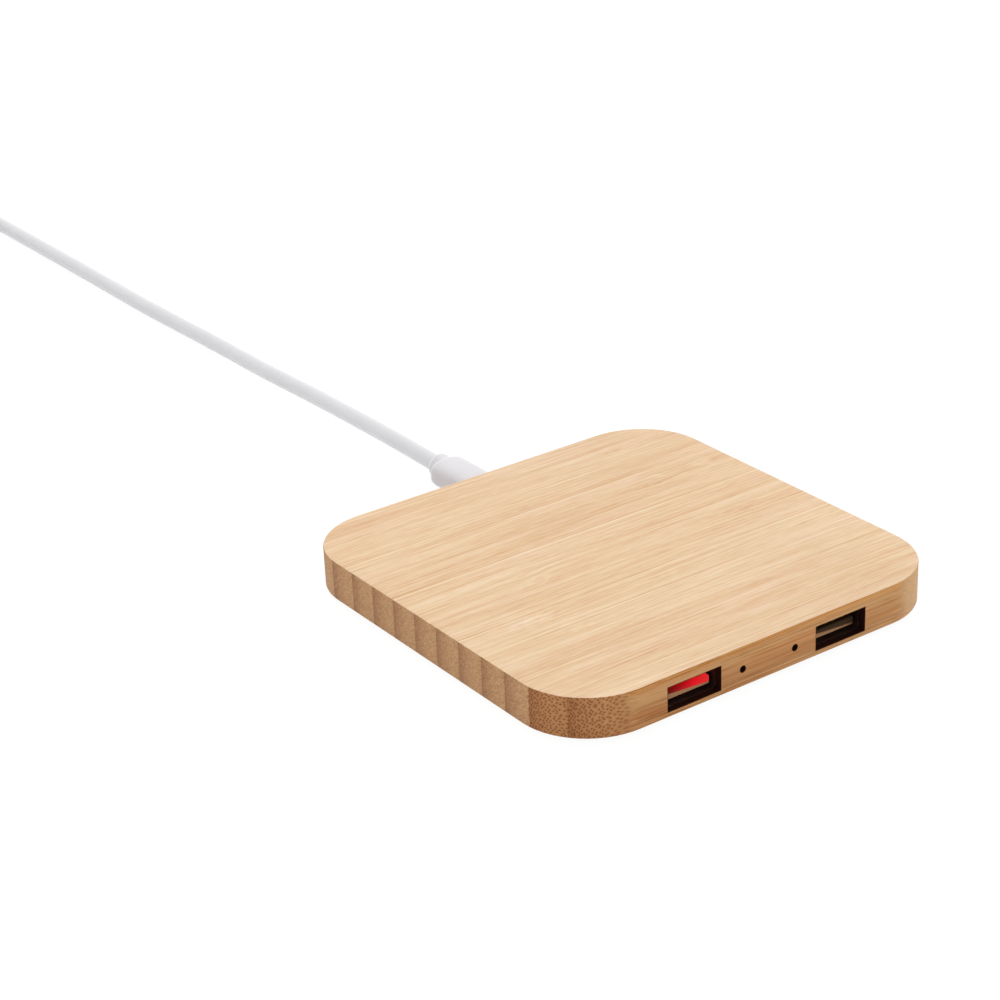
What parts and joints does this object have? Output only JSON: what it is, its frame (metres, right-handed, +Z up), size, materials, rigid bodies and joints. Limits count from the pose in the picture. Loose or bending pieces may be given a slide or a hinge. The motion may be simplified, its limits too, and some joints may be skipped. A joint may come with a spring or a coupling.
{
  "type": "wireless charging pad",
  "caption": "Flat square charging pad of laminated bamboo with round corners, two USB-A sockets on one side and a detachable white cable at the back.",
  "frame": {"origin": "on the surface that the feet stand on, under the middle of the pad", "axes": "+Z up, +Y from the port side to the side that the cable leaves, +X along the port side"},
  "size_m": [0.1057, 0.3919, 0.01],
  "materials": {
    "bamboo": "laminated bamboo, sanded satin",
    "black_abs": "moulded ABS",
    "grey_rubber": "moulded rubber",
    "plated_steel": "nickel plated",
    "board_green": "solder mask on glass laminate",
    "port_red": "moulded, lit red from behind",
    "port_black": "moulded",
    "gold_contacts": "gold plated",
    "chip_black": "moulded resin",
    "light_clear": "clear resin",
    "light_red": "red resin",
    "capacitor_can": "drawn can",
    "enamelled_copper": "enamelled copper wire",
    "ferrite": "sintered sheet",
    "amber_tape": "polyimide film",
    "white_tpe": "satin white elastomer",
    "white_plastic": "moulded"
  },
  "bodies": {
    "charger": {"bamboo_body": "bamboo", "base_cover": "black_abs", "rubber_foot_1": "grey_rubber", "rubber_foot_2": "grey_rubber", "rubber_foot_3": "grey_rubber", "rubber_foot_4": "grey_rubber", "cover_screw_1": "plated_steel", "cover_screw_2": "plated_steel", "cover_screw_3": "plated_steel", "cover_screw_4": "plated_steel", "main_board": "board_green", "board_screw_1": "plated_steel", "board_screw_2": "plated_steel", "board_screw_3": "plated_steel", "board_screw_4": "plated_steel", "led_pin_left": "light_clear", "led_pin_right": "light_clear", "led_port": "light_red", "charger_chip": "chip_black", "port_chip": "chip_black", "inductor": "chip_black", "crystal": "plated_steel", "capacitor_1": "capacitor_can", "capacitor_2": "capacitor_can", "capacitor_3": "capacitor_can", "usb_a_shell_left": "plated_steel", "usb_a_shell_right": "plated_steel", "usb_a_tongue_left": "port_red", "usb_a_tongue_right": "port_black", "usb_a_contact_left_1": "gold_contacts", "usb_a_contact_left_2": "gold_contacts", "usb_a_contact_left_3": "gold_contacts", "usb_a_contact_left_4": "gold_contacts", "usb_a_contact_right_1": "gold_contacts", "usb_a_contact_right_2": "gold_contacts", "usb_a_contact_right_3": "gold_contacts", "usb_a_contact_right_4": "gold_contacts", "micro_usb_shell": "plated_steel", "micro_usb_tongue": "chip_black", "transmit_coil": "enamelled_copper", "coil_tape": "amber_tape", "ferrite_sheet": "ferrite"},
    "cable": {"plug_overmould": "white_tpe", "plug_tip": "plated_steel", "plug_insert": "chip_black", "cord": "white_tpe", "cord_coil": "white_tpe", "cable_tie": "white_plastic", "usb_a_plug_overmould": "white_tpe", "usb_a_plug_shell": "plated_steel", "usb_a_plug_insert": "white_plastic"}
  },
  "joints": [
    {"name": "plug_slide", "type": "slide", "parent": "charger", "child": "cable", "axis": [0, 1, 0], "range_m": [0, 0.012]}
  ]
}
